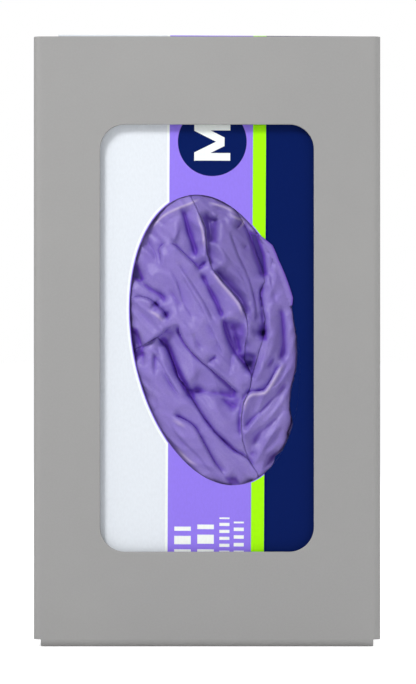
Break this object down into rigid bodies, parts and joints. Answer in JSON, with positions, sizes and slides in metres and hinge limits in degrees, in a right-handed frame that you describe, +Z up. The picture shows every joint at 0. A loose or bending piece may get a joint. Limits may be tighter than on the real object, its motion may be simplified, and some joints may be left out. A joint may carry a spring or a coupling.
{
  "type": "glove box holder",
  "caption": "Wall-mounted folded steel holder with a windowed front, holding an upright printed carton of disposable gloves that pull out through an oval opening.",
  "frame": {"origin": "on the wall plane, at the centre of the four screw holes in the back plate", "axes": "+Z up, +Y into the wall, so the front with its window faces -Y; +X to the right seen from the front"},
  "size_m": [0.1444, 0.084, 0.255],
  "materials": {
    "powder_coat": "satin",
    "rivet_metal": "satin",
    "printed_board": "satin",
    "nitrile_glove": "satin"
  },
  "bodies": {
    "holder": {"front_cover": "powder_coat", "back_plate": "powder_coat", "back_plate_rivets": "rivet_metal"},
    "carton": {"carton_front_panel": "printed_board", "carton_back_panel": "printed_board", "carton_left_panel": "printed_board", "carton_right_panel": "printed_board", "carton_glue_flap": "printed_board", "carton_top_outer_flap": "printed_board", "carton_top_inner_flap": "printed_board", "carton_top_dust_flap_left": "printed_board", "carton_top_dust_flap_right": "printed_board", "carton_bottom_outer_flap": "printed_board", "carton_bottom_inner_flap": "printed_board", "carton_bottom_dust_flap_left": "printed_board", "carton_bottom_dust_flap_right": "printed_board", "glove_stack": "nitrile_glove"},
    "leading_glove": {"leading_glove": "nitrile_glove"},
    "upper_glove": {"upper_glove": "nitrile_glove"},
    "side_glove": {"side_glove": "nitrile_glove"},
    "lower_glove": {"lower_glove": "nitrile_glove"}
  },
  "joints": [
    {"name": "carton_lift", "type": "slide", "parent": "holder", "child": "carton", "axis": [0, 0, 1], "range_m": [0, 0.26], "deforming": ["leading_glove", "upper_glove", "side_glove", "lower_glove"]},
    {"name": "leading_glove_pull", "type": "slide", "parent": "carton", "child": "leading_glove", "axis": [0, -1, 0], "range_m": [0, 0.2]},
    {"name": "upper_glove_pull", "type": "slide", "parent": "carton", "child": "upper_glove", "axis": [0, -1, 0], "range_m": [0, 0.2]},
    {"name": "side_glove_pull", "type": "slide", "parent": "carton", "child": "side_glove", "axis": [0, -1, 0], "range_m": [0, 0.2]},
    {"name": "lower_glove_pull", "type": "slide", "parent": "carton", "child": "lower_glove", "axis": [0, -1, 0], "range_m": [0, 0.2]}
  ]
}
